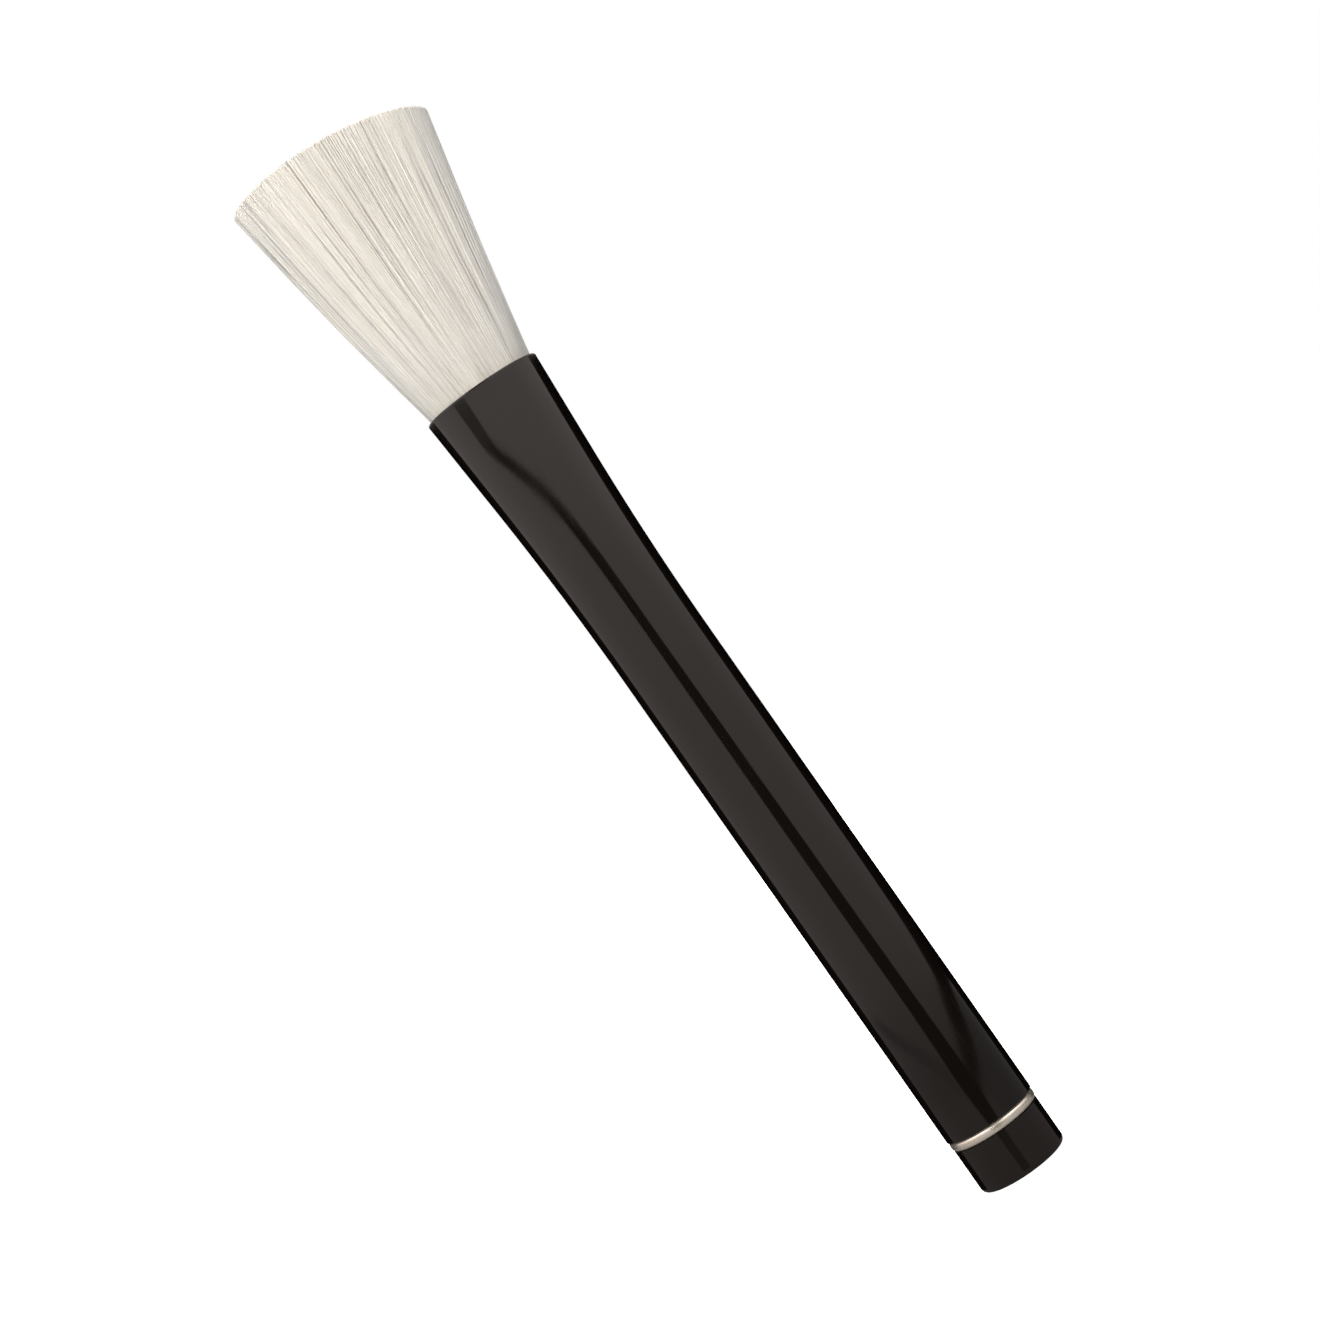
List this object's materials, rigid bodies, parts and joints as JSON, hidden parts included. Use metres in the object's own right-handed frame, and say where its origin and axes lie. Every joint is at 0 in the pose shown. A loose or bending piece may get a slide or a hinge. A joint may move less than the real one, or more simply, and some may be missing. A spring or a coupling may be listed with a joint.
{
  "type": "round stencil brush",
  "caption": "Round stencil brush: glossy black flared handle, pale gold trim ring near the butt, dense flat-cut cream hair that spreads from the mouth.",
  "frame": {"origin": "centre of the flat butt face of the end cap", "axes": "+Z along the brush from the butt to the hair; the brush is round about Z, so X and Y are free, with -Y taken as the front"},
  "size_m": [0.03, 0.03, 0.165],
  "materials": {
    "black_lacquer": "glossy black lacquer",
    "pale_gold": "polished pale gold plate",
    "plated_steel": "zinc plated",
    "beech": "unfinished turned beech",
    "bare_aluminium": "drawn, unpolished",
    "amber_resin": "cast epoxy resin",
    "waxed_thread": "waxed linen thread",
    "cream_hair": "fine straight hair, soft sheen"
  },
  "bodies": {
    "root": {"handle_sleeve": "black_lacquer", "trim_ring": "pale_gold", "end_cap": "black_lacquer", "cap_stud": "plated_steel", "core_dowel": "beech", "tuft_cup": "bare_aluminium", "root_plug": "amber_resin", "tuft_binding": "waxed_thread", "bristle_tuft": "cream_hair"}
  },
  "joints": []
}
